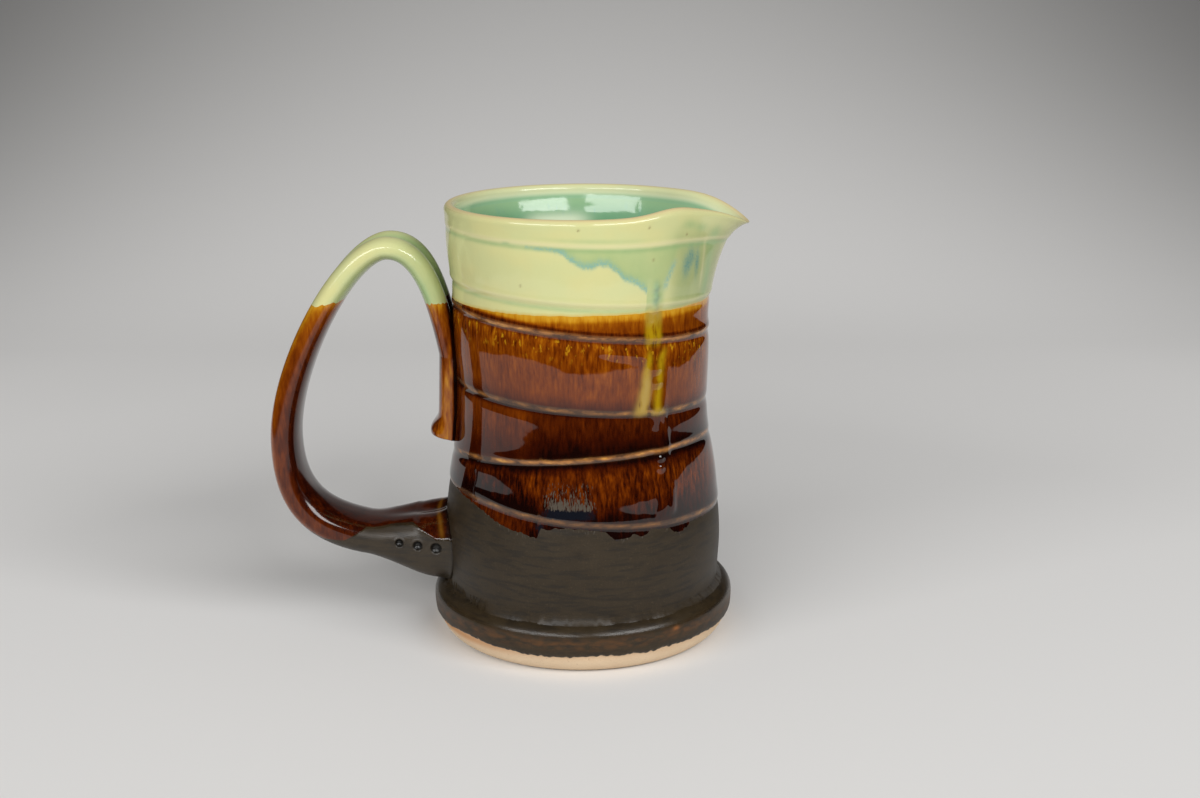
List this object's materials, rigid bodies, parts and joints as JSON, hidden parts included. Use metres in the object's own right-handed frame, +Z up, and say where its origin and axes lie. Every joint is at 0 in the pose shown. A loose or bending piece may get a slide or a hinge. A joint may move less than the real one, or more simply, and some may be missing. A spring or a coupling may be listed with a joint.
{
  "type": "cream jug",
  "caption": "Hand-thrown stoneware cream jug with a rolled foot, slanted throwing ribs, a pulled pouring lip and an arched strap handle, glazed cream over amber over bronze.",
  "frame": {"origin": "middle of the flat base, on the table", "axes": "+Z up the jug's axis, +X towards the spout, -X towards the handle"},
  "size_m": [0.1308, 0.0838, 0.1216],
  "materials": {
    "bare_clay": "bare fired buff stoneware",
    "slip": "fired slip",
    "celadon_lining": "gloss green celadon glaze",
    "cream_gloss": "gloss cream glaze, green where it pools",
    "amber_gloss": "gloss streaked amber-brown glaze",
    "bronze_satin": "satin bronze-brown glaze"
  },
  "bodies": {
    "root": {"thrown_body": "bare_clay", "pulled_handle": "bare_clay", "upper_slip_joint": "slip", "lower_slip_joint": "slip", "lining_glaze": "celadon_lining", "cream_glaze": "cream_gloss", "amber_glaze": "amber_gloss", "bronze_glaze": "bronze_satin", "handle_tail_glaze": "amber_gloss", "handle_cream_glaze": "cream_gloss", "handle_grip_glaze": "amber_gloss", "handle_root_glaze": "bronze_satin"}
  },
  "joints": []
}
